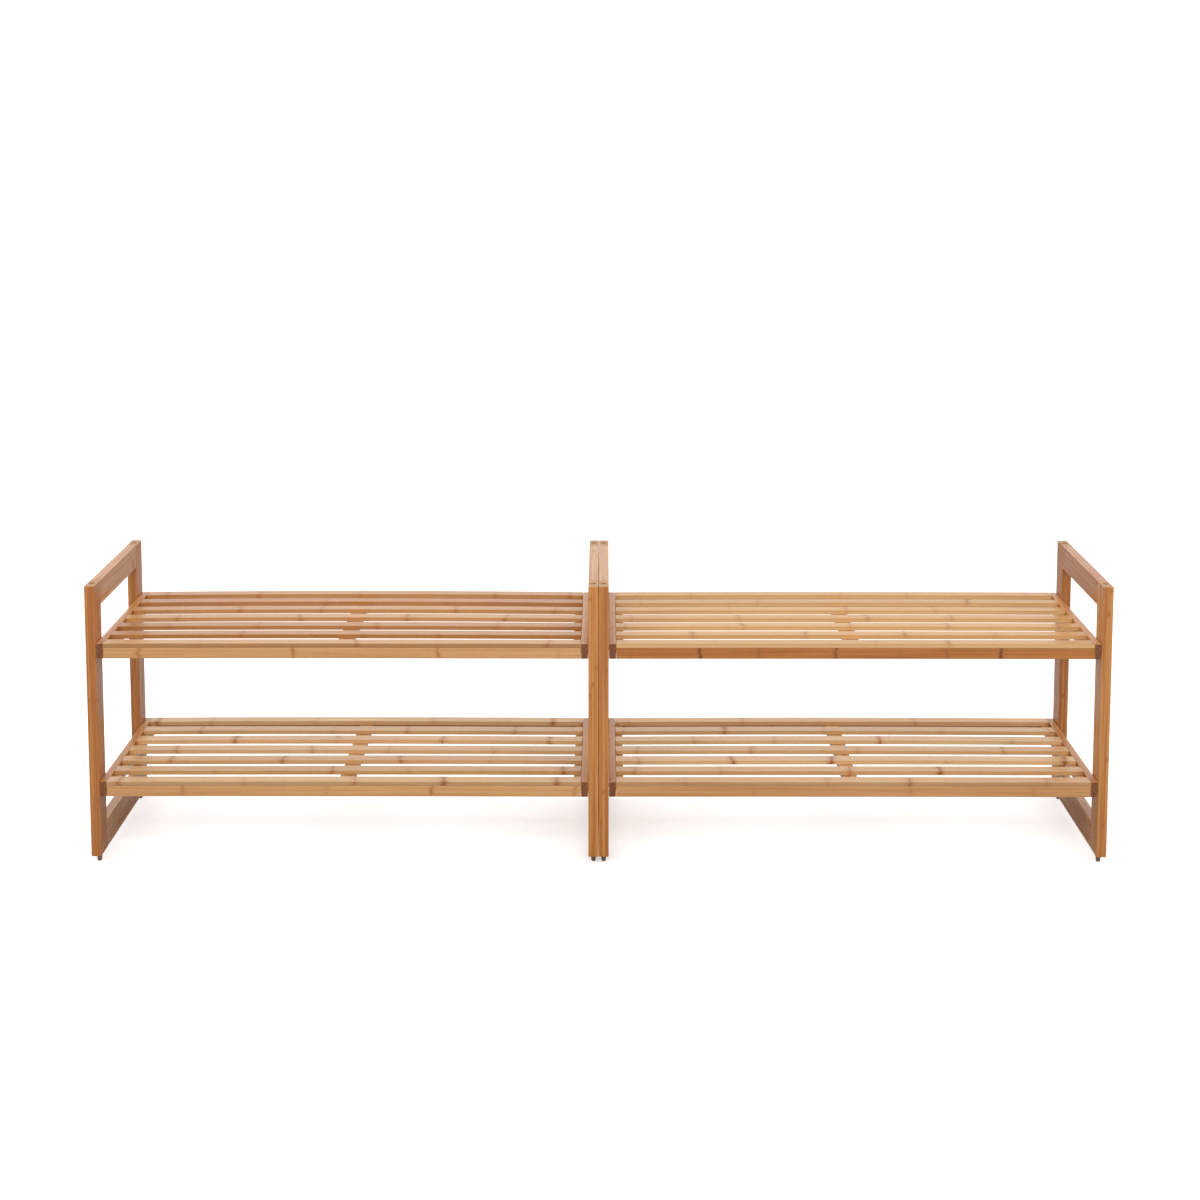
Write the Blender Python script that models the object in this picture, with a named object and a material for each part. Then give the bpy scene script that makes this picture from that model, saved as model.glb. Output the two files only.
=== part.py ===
"""A pair of two-tier slatted bamboo racks that stand side by side as a low entryway bench.

Each rack has two open rectangular end frames and two slatted shelves between them. A tapered
dowel pin stands under every post and fits the socket in the top of a post of another rack, so
racks stack. Both racks are the same; they only touch the floor, on their eight pins.

+Z is up, +X runs along the pair to the right and the front faces -Y. The origin lies on the
floor, in the middle of the pair.
"""

import bmesh
import bpy

# Driving dimensions of one rack, in metres.
RACK_WIDTH = 0.863  # over the outer faces of the end frames
RACK_DEPTH = 0.330  # over the front and back faces
FRAME_HEIGHT = 0.470  # of an end frame, without its pins
RACK_GAP = 0.0005  # between the two racks

# End frames, all of one board thickness.
FRAME_THICKNESS = 0.017
POST_WIDTH = 0.042
TOP_RAIL_HEIGHT = 0.042
BOTTOM_RAIL_HEIGHT = 0.048

# Stacking pins and the sockets that take them.
PIN_LENGTH = 0.015
PIN_DIAMETER = 0.010
PIN_TIP_DIAMETER = 0.007
PIN_STRAIGHT_LENGTH = 0.003  # from the post down to where the taper starts
SOCKET_CLEARANCE = 0.0005  # on the diameter
SOCKET_SPARE_DEPTH = 0.002  # below the tip of a seated pin
ROUND_SIDES = 20

# Shelves. Their heights are those of the slat tops above the floor.
LOWER_SHELF_TOP = 0.147
SHELF_SPACING = 0.240
SLAT_COUNT = 7
SLAT_WIDTH = 0.0235
SLAT_THICKNESS = 0.0075
BEAM_HEIGHT = 0.019
BEAM_THICKNESS = 0.012
SIDE_RAIL_THICKNESS = 0.012
CLEAT_WIDTH = 0.013  # the ledge on a side rail that carries the slat ends
CLEAT_HEIGHT = 0.012
CENTRE_BAR_WIDTH = 0.025
CENTRE_BAR_HEIGHT = 0.012

# Fit and finish.
SOLID_GAP = 0.0003  # between pieces that are glued, stapled or bolted face to face
EDGE_CHAMFER = 0.0008  # on every long edge of the boards
UNION_OVERLAP = 0.002  # by which two shapes of one piece run into each other

# Values that follow from the sizes above.
RACK_PITCH = RACK_WIDTH + RACK_GAP
SHELF_HEIGHT = BEAM_HEIGHT + SLAT_THICKNESS
SLAT_PITCH = (RACK_DEPTH - SLAT_WIDTH) / (SLAT_COUNT - 1)
POST_X = (RACK_WIDTH - FRAME_THICKNESS) / 2
POST_Y = (RACK_DEPTH - POST_WIDTH) / 2
RAIL_SPAN = RACK_DEPTH - 2 * (POST_WIDTH + SOLID_GAP)
SHELF_HALF_WIDTH = RACK_WIDTH / 2 - FRAME_THICKNESS - SOLID_GAP
BEAM_HALF_LENGTH = SHELF_HALF_WIDTH - SIDE_RAIL_THICKNESS - SOLID_GAP
CLEAT_HALF_LENGTH = RACK_DEPTH / 2 - BEAM_THICKNESS - SOLID_GAP

# Lacquered bamboo, from the palest slats to the darkest end grain.
SLAT_COLOUR = (0.62, 0.39, 0.20)
BEAM_COLOUR = (0.52, 0.28, 0.11)
FRAME_COLOUR = (0.47, 0.23, 0.09)
SIDE_RAIL_COLOUR = (0.43, 0.22, 0.11)
BAR_COLOUR = (0.36, 0.19, 0.09)
LACQUER_ROUGHNESS = 0.42

RACKS = {"left_rack": -1, "right_rack": 1}
SIDES = {"left": -1, "right": 1}
ENDS = {"front": -1, "back": 1}
SHELF_TOPS = {
    "lower": LOWER_SHELF_TOP,
    "upper": LOWER_SHELF_TOP + SHELF_SPACING,
}


def clear_scene():
    for obj in list(bpy.data.objects):
        bpy.data.objects.remove(obj)


def lacquered_bamboo(name, colour):
    """A Principled material of one tone of bamboo."""
    material = bpy.data.materials.new(name)
    material.use_nodes = True
    shader = material.node_tree.nodes["Principled BSDF"]
    shader.inputs["Base Color"].default_value = (*colour, 1.0)
    shader.inputs["Roughness"].default_value = LACQUER_ROUGHNESS
    shader.inputs["Metallic"].default_value = 0.0
    material.diffuse_color = (*colour, 1.0)
    return material


def ease_edges(bm):
    """Breaks the outer edges of a board, as sanding does before the lacquer."""
    bmesh.ops.recalc_face_normals(bm, faces=bm.faces)
    outer_edges = [edge for edge in bm.edges if edge.is_convex]
    bmesh.ops.bevel(bm, geom=outer_edges, offset=EDGE_CHAMFER, segments=1, affect="EDGES")


def object_from(bm, name, parent, location):
    """An object with the mesh that bm holds, placed under its parent."""
    mesh = bpy.data.meshes.new(name)
    bmesh.ops.recalc_face_normals(bm, faces=bm.faces)
    bm.to_mesh(mesh)
    bm.free()
    obj = bpy.data.objects.new(name, mesh)
    bpy.context.scene.collection.objects.link(obj)
    obj.parent = parent
    obj.location = location
    return obj


def box(name, parent, low, high, eased=False):
    """A box between two corners, with its origin in its middle."""
    size = [top - bottom for bottom, top in zip(low, high)]
    middle = [(bottom + top) / 2 for bottom, top in zip(low, high)]
    bm = bmesh.new()
    bmesh.ops.create_cube(bm, size=1.0)
    bmesh.ops.scale(bm, vec=size, verts=bm.verts)
    if eased:
        ease_edges(bm)
    return object_from(bm, name, parent, middle)


def board(name, parent, low, high, colour):
    """One planed board with eased edges and its own material."""
    obj = box(name, parent, low, high, eased=True)
    obj.data.materials.append(lacquered_bamboo(name + "_bamboo", colour))
    return obj


def moulding(name, parent, profile, half_length, colour):
    """A board of any section: a closed outline in Y and Z, extruded along X."""
    bm = bmesh.new()
    outline = [bm.verts.new((-half_length, y, z)) for y, z in profile]
    end = bm.faces.new(outline)
    sweep = bmesh.ops.extrude_face_region(bm, geom=[end])
    moved = [item for item in sweep["geom"] if isinstance(item, bmesh.types.BMVert)]
    bmesh.ops.translate(bm, vec=(2 * half_length, 0, 0), verts=moved)
    ease_edges(bm)
    obj = object_from(bm, name, parent, (0, 0, 0))
    obj.data.materials.append(lacquered_bamboo(name + "_bamboo", colour))
    return obj


def tool_shape(obj):
    """Marks a shape that is only added to or cut from another."""
    obj.hide_render = True
    obj.display_type = "WIRE"
    return obj


def combine(obj, shape, operation):
    modifier = obj.modifiers.new(shape.name, "BOOLEAN")
    modifier.object = tool_shape(shape)
    modifier.operation = operation
    modifier.solver = "EXACT"


def turned(name, parent, centre, rings):
    """A round solid on a vertical axis, through rings of (height, radius), lowest first."""
    bm = bmesh.new()
    loops = []
    for height, radius in rings:
        made = bmesh.ops.create_circle(bm, segments=ROUND_SIDES, radius=radius)
        bmesh.ops.translate(bm, vec=(0, 0, height), verts=made["verts"])
        loops.append(made["verts"])
    for below, above in zip(loops, loops[1:]):
        for i in range(ROUND_SIDES):
            after = (i + 1) % ROUND_SIDES
            bm.faces.new((below[i], below[after], above[after], above[i]))
    bm.faces.new(loops[0])
    bm.faces.new(loops[-1])
    return object_from(bm, name, parent, (*centre, 0))


def add_post(rack, name, x, y):
    """A full-height post with its stacking pin below and its socket above."""
    bottom, top = PIN_LENGTH, PIN_LENGTH + FRAME_HEIGHT
    half = (FRAME_THICKNESS / 2, POST_WIDTH / 2)
    low = (x - half[0], y - half[1], bottom)
    high = (x + half[0], y + half[1], top)
    post = board(name, rack, low, high, FRAME_COLOUR)
    pin_rings = (
        (0, PIN_TIP_DIAMETER / 2),
        (bottom - PIN_STRAIGHT_LENGTH, PIN_DIAMETER / 2),
        (bottom + UNION_OVERLAP, PIN_DIAMETER / 2),
    )
    combine(post, turned(name + "_pin", rack, (x, y), pin_rings), "UNION")
    socket_radius = (PIN_DIAMETER + SOCKET_CLEARANCE) / 2
    socket_rings = (
        (top - PIN_LENGTH - SOCKET_SPARE_DEPTH, socket_radius),
        (top + UNION_OVERLAP, socket_radius),
    )
    combine(post, turned(name + "_socket", rack, (x, y), socket_rings), "DIFFERENCE")


def add_rail(rack, name, x, bottom, height):
    """A cross rail of an end frame, between its two posts."""
    low = (x - FRAME_THICKNESS / 2, -RAIL_SPAN / 2, bottom)
    high = (x + FRAME_THICKNESS / 2, RAIL_SPAN / 2, bottom + height)
    board(name, rack, low, high, FRAME_COLOUR)


def add_end_frame(rack, name, side):
    """Two posts and two rails, glued into one open rectangle."""
    x = side * POST_X
    for end_name, end in ENDS.items():
        add_post(rack, f"{name}_{end_name}_post", x, end * POST_Y)
    top_rail_bottom = PIN_LENGTH + FRAME_HEIGHT - TOP_RAIL_HEIGHT
    add_rail(rack, name + "_top_rail", x, top_rail_bottom, TOP_RAIL_HEIGHT)
    add_rail(rack, name + "_bottom_rail", x, PIN_LENGTH, BOTTOM_RAIL_HEIGHT)


def add_side_rail(rack, name, side, top):
    """The shelf's end board, with the inner ledge that the slat ends lie on."""
    outer = SHELF_HALF_WIDTH
    inner = SHELF_HALF_WIDTH - SIDE_RAIL_THICKNESS
    x_low, x_high = sorted((side * outer, side * inner))
    low = (x_low, -RACK_DEPTH / 2, top - SHELF_HEIGHT)
    high = (x_high, RACK_DEPTH / 2, top)
    rail = board(name, rack, low, high, SIDE_RAIL_COLOUR)
    ledge_top = top - SLAT_THICKNESS - SOLID_GAP
    ledge_ends = (side * (inner + UNION_OVERLAP), side * (inner - CLEAT_WIDTH))
    ledge_low = (min(ledge_ends), -CLEAT_HALF_LENGTH, ledge_top - CLEAT_HEIGHT)
    ledge_high = (max(ledge_ends), CLEAT_HALF_LENGTH, ledge_top)
    combine(rail, box(name + "_cleat", rack, ledge_low, ledge_high), "UNION")


def add_front_beam(rack, name, top):
    """The edge beam under the front slat."""
    beam_top = top - SLAT_THICKNESS - SOLID_GAP
    low = (-BEAM_HALF_LENGTH, -RACK_DEPTH / 2, top - SHELF_HEIGHT)
    high = (BEAM_HALF_LENGTH, -RACK_DEPTH / 2 + BEAM_THICKNESS, beam_top)
    board(name, rack, low, high, BEAM_COLOUR)


def add_back_beam(rack, name, top):
    """The edge beam at the back, in one piece with the last slat, which is glued along it."""
    back = RACK_DEPTH / 2
    slat_bottom = top - SLAT_THICKNESS
    profile = (
        (back, top),
        (back, top - SHELF_HEIGHT),
        (back - BEAM_THICKNESS, top - SHELF_HEIGHT),
        (back - BEAM_THICKNESS, slat_bottom),
        (back - SLAT_WIDTH, slat_bottom),
        (back - SLAT_WIDTH, top),
    )
    moulding(name, rack, profile, BEAM_HALF_LENGTH, BEAM_COLOUR)


def add_centre_bar(rack, name, top):
    """The support bar under the middle of the slats, from the front beam to the back beam."""
    bar_top = top - SLAT_THICKNESS - SOLID_GAP
    low = (-CENTRE_BAR_WIDTH / 2, -CLEAT_HALF_LENGTH, bar_top - CENTRE_BAR_HEIGHT)
    high = (CENTRE_BAR_WIDTH / 2, CLEAT_HALF_LENGTH, bar_top)
    board(name, rack, low, high, BAR_COLOUR)


def add_slat(rack, name, number, top):
    """One slat, counted from the front, between the two side rails."""
    middle = -RACK_DEPTH / 2 + SLAT_WIDTH / 2 + number * SLAT_PITCH
    low = (-BEAM_HALF_LENGTH, middle - SLAT_WIDTH / 2, top - SLAT_THICKNESS)
    high = (BEAM_HALF_LENGTH, middle + SLAT_WIDTH / 2, top)
    board(name, rack, low, high, SLAT_COLOUR)


def add_shelf(rack, name, top):
    for side_name, side in SIDES.items():
        add_side_rail(rack, f"{name}_{side_name}_side_rail", side, top)
    add_front_beam(rack, name + "_front_beam", top)
    add_back_beam(rack, name + "_back_beam", top)
    add_centre_bar(rack, name + "_centre_bar", top)
    for number in range(SLAT_COUNT - 1):
        add_slat(rack, f"{name}_slat_{number + 1}", number, top)


def add_rack(name, side):
    rack = bpy.data.objects.new(name, None)
    bpy.context.scene.collection.objects.link(rack)
    rack.location = (side * RACK_PITCH / 2, 0, 0)
    for side_name, frame_side in SIDES.items():
        add_end_frame(rack, f"{name}_{side_name}", frame_side)
    for shelf_name, top in SHELF_TOPS.items():
        add_shelf(rack, f"{name}_{shelf_name}", top)


clear_scene()
for rack_name, rack_side in RACKS.items():
    add_rack(rack_name, rack_side)
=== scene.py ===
# %% [markdown]
# # A pair of slatted bamboo racks
#
# Two identical low racks stand side by side. Each one has two open end frames of laminated bamboo
# and two slatted shelves bolted between them. A tapered dowel under every post fits the hole in
# the top of a post of another rack, so the racks stack.
#
# The frame below is the measured design. Every board made here takes its size and its place from
# it, and the bolts and staples are placed by it too.

import math
import random

import bmesh
import bpy
from mathutils import Matrix, Vector


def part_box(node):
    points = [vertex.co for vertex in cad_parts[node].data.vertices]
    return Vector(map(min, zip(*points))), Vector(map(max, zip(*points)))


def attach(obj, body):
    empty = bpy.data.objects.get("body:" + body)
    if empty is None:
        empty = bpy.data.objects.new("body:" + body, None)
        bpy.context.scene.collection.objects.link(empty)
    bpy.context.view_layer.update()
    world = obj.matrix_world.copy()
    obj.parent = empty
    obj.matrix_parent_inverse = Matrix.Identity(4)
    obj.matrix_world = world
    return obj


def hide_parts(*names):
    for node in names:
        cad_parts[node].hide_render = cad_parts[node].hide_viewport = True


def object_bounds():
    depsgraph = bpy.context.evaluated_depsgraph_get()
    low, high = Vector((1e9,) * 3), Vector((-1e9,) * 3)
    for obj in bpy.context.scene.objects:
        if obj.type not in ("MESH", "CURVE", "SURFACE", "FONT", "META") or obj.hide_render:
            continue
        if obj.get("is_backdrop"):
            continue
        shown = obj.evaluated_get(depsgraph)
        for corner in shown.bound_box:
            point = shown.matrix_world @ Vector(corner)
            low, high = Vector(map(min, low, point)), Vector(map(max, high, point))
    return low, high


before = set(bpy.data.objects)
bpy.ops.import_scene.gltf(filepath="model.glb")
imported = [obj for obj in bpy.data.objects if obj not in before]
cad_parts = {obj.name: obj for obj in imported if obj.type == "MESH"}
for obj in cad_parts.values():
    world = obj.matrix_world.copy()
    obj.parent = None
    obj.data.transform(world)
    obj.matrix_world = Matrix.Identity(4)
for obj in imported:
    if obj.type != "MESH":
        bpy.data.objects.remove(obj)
cad_low, cad_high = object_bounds()
print(f"{len(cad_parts)} pieces in the frame, {[round(s, 4) for s in cad_high - cad_low]} m")

# %% [markdown]
# ## Camera
#
# The camera stands in front of the middle of the pair, well above it, and looks down a little. A
# lens shift carries part of the framing, as on a view camera, so the posts stay almost upright
# instead of leaning together. The rest comes from the tilt, which keeps the racks inside the
# picture when the same lens looks at them from the sides.

# %% Place the camera
scene = bpy.context.scene
CAMERA_PLACE = Vector((0.0105, -3.287, 1.3157))
CAMERA_TILT_DOWN = math.radians(5.989)
CAMERA_TURN = math.radians(0.147)
LENS_LENGTH = 57.15
LENS_SHIFT = -0.26
FARTHEST_SEEN = 60.0

lens = bpy.data.cameras.new("camera")
lens.lens = LENS_LENGTH
lens.shift_y = LENS_SHIFT
lens.clip_end = FARTHEST_SEEN
camera = bpy.data.objects.new("camera", lens)
camera.location = CAMERA_PLACE
camera.rotation_euler = (math.pi / 2 - CAMERA_TILT_DOWN, 0, CAMERA_TURN)
scene.collection.objects.link(camera)
scene.camera = camera
print(f"camera {CAMERA_PLACE.y:.2f} m along Y, {CAMERA_PLACE.z:.2f} m up, {lens.lens} mm")

# %% [markdown]
# ## Building with shader nodes
#
# A material or a world in Blender is a graph. These few helpers each add one node and hand back its
# output, so that a pattern further down reads like a sum. `feed` joins a socket to another one, or
# sets it when it is given a plain value, and `fill` does so for several inputs of one node.

# %% Helpers that add one node each


def feed(tree, socket, value):
    if isinstance(value, bpy.types.NodeSocket):
        tree.links.new(value, socket)
    else:
        socket.default_value = value


def fill(tree, node, **values):
    """Feeds a node's inputs by their names, with _ for a space."""
    for label, value in values.items():
        feed(tree, node.inputs[label.replace("_", " ")], value)


def maths(tree, operation, *values, clamp=False):
    node = tree.nodes.new("ShaderNodeMath")
    node.operation = operation
    node.use_clamp = clamp
    for socket, value in zip(node.inputs, values):
        feed(tree, socket, value)
    return node.outputs["Value"]


def product(tree, first, second, clamp=False):
    return maths(tree, "MULTIPLY", first, second, clamp=clamp)


def total(tree, first, second, clamp=False):
    return maths(tree, "ADD", first, second, clamp=clamp)


def vector_maths(tree, operation, vector, other):
    node = tree.nodes.new("ShaderNodeVectorMath")
    node.operation = operation
    feed(tree, node.inputs[0], vector)
    feed(tree, node.inputs[1], other)
    return node.outputs["Vector"]


def stretch(tree, vector, amounts):
    """The vector with each of its three parts multiplied."""
    return vector_maths(tree, "MULTIPLY", vector, amounts)


def shifted(tree, vector, offset):
    return vector_maths(tree, "ADD", vector, offset)


def bundle(tree, x, y, z):
    node = tree.nodes.new("ShaderNodeCombineXYZ")
    for socket, value in zip(node.inputs, (x, y, z)):
        feed(tree, socket, value)
    return node.outputs["Vector"]


def split(tree, vector):
    node = tree.nodes.new("ShaderNodeSeparateXYZ")
    feed(tree, node.inputs["Vector"], vector)
    return node.outputs["X"], node.outputs["Y"], node.outputs["Z"]


def swing(tree, value, amount):
    """Turns a value round 0.5 into one round 0 that is amount times as strong."""
    return product(tree, maths(tree, "SUBTRACT", value, 0.5), amount)


def cloud(tree, vector, size, detail=2.0, roughness=0.5):
    """Soft noise from 0 to 1. size is how many lumps there are in a metre, along each axis."""
    place = stretch(tree, vector, size)
    node = tree.nodes.new("ShaderNodeTexNoise")
    fill(tree, node, Vector=place, Scale=1.0, Detail=detail, Roughness=roughness)
    return node.outputs["Fac"]


def dice(tree, vector):
    """Three random numbers that are the same wherever the vector is the same."""
    node = tree.nodes.new("ShaderNodeTexWhiteNoise")
    feed(tree, node.inputs["Vector"], vector)
    return split(tree, node.outputs["Color"])


def fade(tree, value, start, end, out_start=0.0, out_end=1.0):
    """Goes smoothly from out_start to out_end as value goes from start to end."""
    node = tree.nodes.new("ShaderNodeMapRange")
    node.interpolation_type = "SMOOTHSTEP"
    for socket, number in zip(node.inputs, (value, start, end, out_start, out_end)):
        feed(tree, socket, number)
    return node.outputs["Result"]


def bell(tree, distance, width):
    """1 where distance is 0, falling to almost 0 two widths away."""
    ratio = maths(tree, "DIVIDE", distance, width)
    squared = product(tree, ratio, ratio)
    return maths(tree, "EXPONENT", product(tree, squared, -1.0))


def mixed(tree, share, first, second, mode="MIX"):
    node = tree.nodes.new("ShaderNodeMix")
    node.data_type = "RGBA"
    node.blend_type = mode
    node.clamp_factor = True
    for socket, value in zip((node.inputs[0], node.inputs[6], node.inputs[7]), (share, first, second)):
        feed(tree, socket, value)
    return node.outputs[2]


def stored(tree, name, output="Fac"):
    """A value that note_grain stored on the mesh."""
    node = tree.nodes.new("ShaderNodeAttribute")
    node.attribute_name = name
    return node.outputs[output]


def new_group(name, inputs, outputs):
    """An empty node group with named sockets, and its two end nodes."""
    tree = bpy.data.node_groups.new(name, "ShaderNodeTree")
    for label, kind, value in inputs:
        socket = tree.interface.new_socket(label, in_out="INPUT", socket_type="NodeSocket" + kind)
        socket.default_value = value
    for label, kind in outputs:
        tree.interface.new_socket(label, in_out="OUTPUT", socket_type="NodeSocket" + kind)
    start = tree.nodes.new("NodeGroupInput")
    end = tree.nodes.new("NodeGroupOutput")
    return tree, start.outputs, end.inputs


print("node helpers are ready")

# %% [markdown]
# ## Studio
#
# Satin lacquer shows whatever stands round it. The room is brightest behind the racks, where it
# washes the tops of the slats with a pale sheen at a low angle, and dimmer behind the camera, so
# the fronts keep their warm colour. Three big soft lamps stand in front, at the left, at the right
# and in the middle, and a weaker one hangs overhead. To the camera the room and the floor are plain
# white; for the light that they throw back on the wood they are duller, as matt paper would be.

# %% Light the studio
ROOM_BEHIND_CAMERA, ROOM_BEHIND_RACKS = 0.32, 1.05
FLOOR_HALF = 40.0
FLOOR_WHITE, FLOOR_GLOW, FLOOR_BOUNCE = 0.92, 0.45, 0.50

scene.view_settings.view_transform = "Standard"
world = bpy.data.worlds.new("white_room")
world.use_nodes = True
tree = world.node_tree
background = tree.nodes["Background"]
background.inputs["Color"].default_value = (1, 1, 1, 1)
direction = tree.nodes.new("ShaderNodeTexCoord").outputs["Generated"]
toward_back = split(tree, direction)[1]
room = fade(tree, toward_back, -0.6, 0.5, ROOM_BEHIND_CAMERA, ROOM_BEHIND_RACKS)
seen = tree.nodes.new("ShaderNodeLightPath").outputs["Is Camera Ray"]
feed(tree, background.inputs["Strength"], maths(tree, "MAXIMUM", room, seen))
scene.world = world


def soft_lamp(name, place, target, width, height, power):
    """An oblong area lamp that faces a point."""
    light = bpy.data.lights.new(name, "AREA")
    light.shape = "RECTANGLE"
    light.size, light.size_y = width, height
    light.energy = power
    lamp = bpy.data.objects.new(name, light)
    lamp.location = place
    lamp.rotation_euler = (Vector(target) - Vector(place)).to_track_quat("-Z", "Y").to_euler()
    scene.collection.objects.link(lamp)


MIDDLE = (cad_low + cad_high) / 2
soft_lamp("left_softbox", (-2.8, -3.6, 2.2), MIDDLE, width=1.6, height=2.0, power=48)
soft_lamp("right_softbox", (2.8, -3.6, 2.2), MIDDLE, width=1.6, height=2.0, power=50)
soft_lamp("front_softbox", (0.0, -3.3, 2.7), MIDDLE, width=3.2, height=1.4, power=62)
soft_lamp("overhead_softbox", (0.0, 0.2, 3.0), MIDDLE, width=3.0, height=2.0, power=22)


def floor_material():
    material = bpy.data.materials.new("pale_floor")
    material.use_nodes = True
    tree = material.node_tree
    visible = tree.nodes["Principled BSDF"]
    fill(tree, visible, Base_Color=(FLOOR_WHITE, FLOOR_WHITE, FLOOR_WHITE, 1), Roughness=0.9,
         Specular_IOR_Level=0.0, Emission_Color=(1, 1, 1, 1), Emission_Strength=FLOOR_GLOW)
    matt = tree.nodes.new("ShaderNodeBsdfDiffuse")
    fill(tree, matt, Color=(FLOOR_BOUNCE, FLOOR_BOUNCE, FLOOR_BOUNCE, 1))
    either = tree.nodes.new("ShaderNodeMixShader")
    feed(tree, either.inputs[0], tree.nodes.new("ShaderNodeLightPath").outputs["Is Camera Ray"])
    feed(tree, either.inputs[1], matt.outputs["BSDF"])
    feed(tree, either.inputs[2], visible.outputs["BSDF"])
    feed(tree, tree.nodes["Material Output"].inputs["Surface"], either.outputs["Shader"])
    return material


def pale_floor():
    """One big plain sheet at the level of the lowest pins."""
    bm = bmesh.new()
    bmesh.ops.create_grid(bm, x_segments=1, y_segments=1, size=FLOOR_HALF)
    bmesh.ops.translate(bm, vec=(0, 0, cad_low.z), verts=bm.verts)
    mesh = bpy.data.meshes.new("floor")
    bm.to_mesh(mesh)
    bm.free()
    mesh.materials.append(floor_material())
    obj = bpy.data.objects.new("floor", mesh)
    scene.collection.objects.link(obj)
    return obj


pale_floor()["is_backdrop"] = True
print(f"floor at {cad_low.z:.4f} m, {len(bpy.data.lights)} lamps")

# %% [markdown]
# ## Bamboo
#
# A bamboo board is glued up from strips split out of a hollow stem. Along a strip run fine fibres,
# and every span of the stem ends in a knuckle, which stays as a short brown band when the strip is
# planed flat. Strips differ in tone, and thin dark lines show where they are glued.
#
# One group makes all of this from the place of a point in its own board: X along the fibres, Y
# across the face, Z through the thickness. White noise gives each strip its own tone and its own
# knuckles, so no two boards look the same, although all use one group.

# %% Make the strips, fibres and knuckles
FINE_FIBRE = (16.0, 1500.0, 1500.0)
BROAD_FIBRE = (4.0, 220.0, 220.0)
SLOW_DRIFT = (3.0, 20.0, 20.0)
KNUCKLE_RIPPLE = (12.0, 170.0, 170.0)
STRIP_OFFSETS = (9.0, 5.0, 7.0)  # how far the noise may shift from one strip to another
BROAD_WEIGHT, FINE_WEIGHT, DRIFT_WEIGHT = 0.6, 0.7, 0.8
KNUCKLE_CORE = 0.0022
PHASE_SPANS = 7.3
KNUCKLE_STRAY = 0.5  # how far a knuckle strays from its place, as a share of the gap
KNUCKLE_WOBBLE, KNUCKLE_LEAN = 0.008, 0.35
FAINTEST_KNUCKLE, KNUCKLE_RANGE, KNUCKLE_BIAS = 0.2, 1.0, 1.5
BAND_WEIGHT, CORE_WEIGHT = 0.75, 0.55
BLUSH_TINT, BLUSH_AMOUNT = (1.0, 0.9, 0.8, 1), 0.8
GLUE_TINT, GLUE_AMOUNT = (0.5, 0.42, 0.36, 1), 0.75
WOOD_ROUGHNESS = 0.3
GLUE_HALF_LINE = 0.0002


def glue_line(tree, place, strip, shift):
    """Which strip a point is in, counted across the board, and 1 on the line between two."""
    count = total(tree, maths(tree, "DIVIDE", place, strip), shift)
    share = maths(tree, "FRACT", count)
    nearest = maths(tree, "MINIMUM", share, maths(tree, "SUBTRACT", 1.0, share))
    distance = product(tree, nearest, strip)
    return maths(tree, "FLOOR", count), fade(tree, distance, 0.0, 2 * GLUE_HALF_LINE, 1.0, 0.0)


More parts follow.
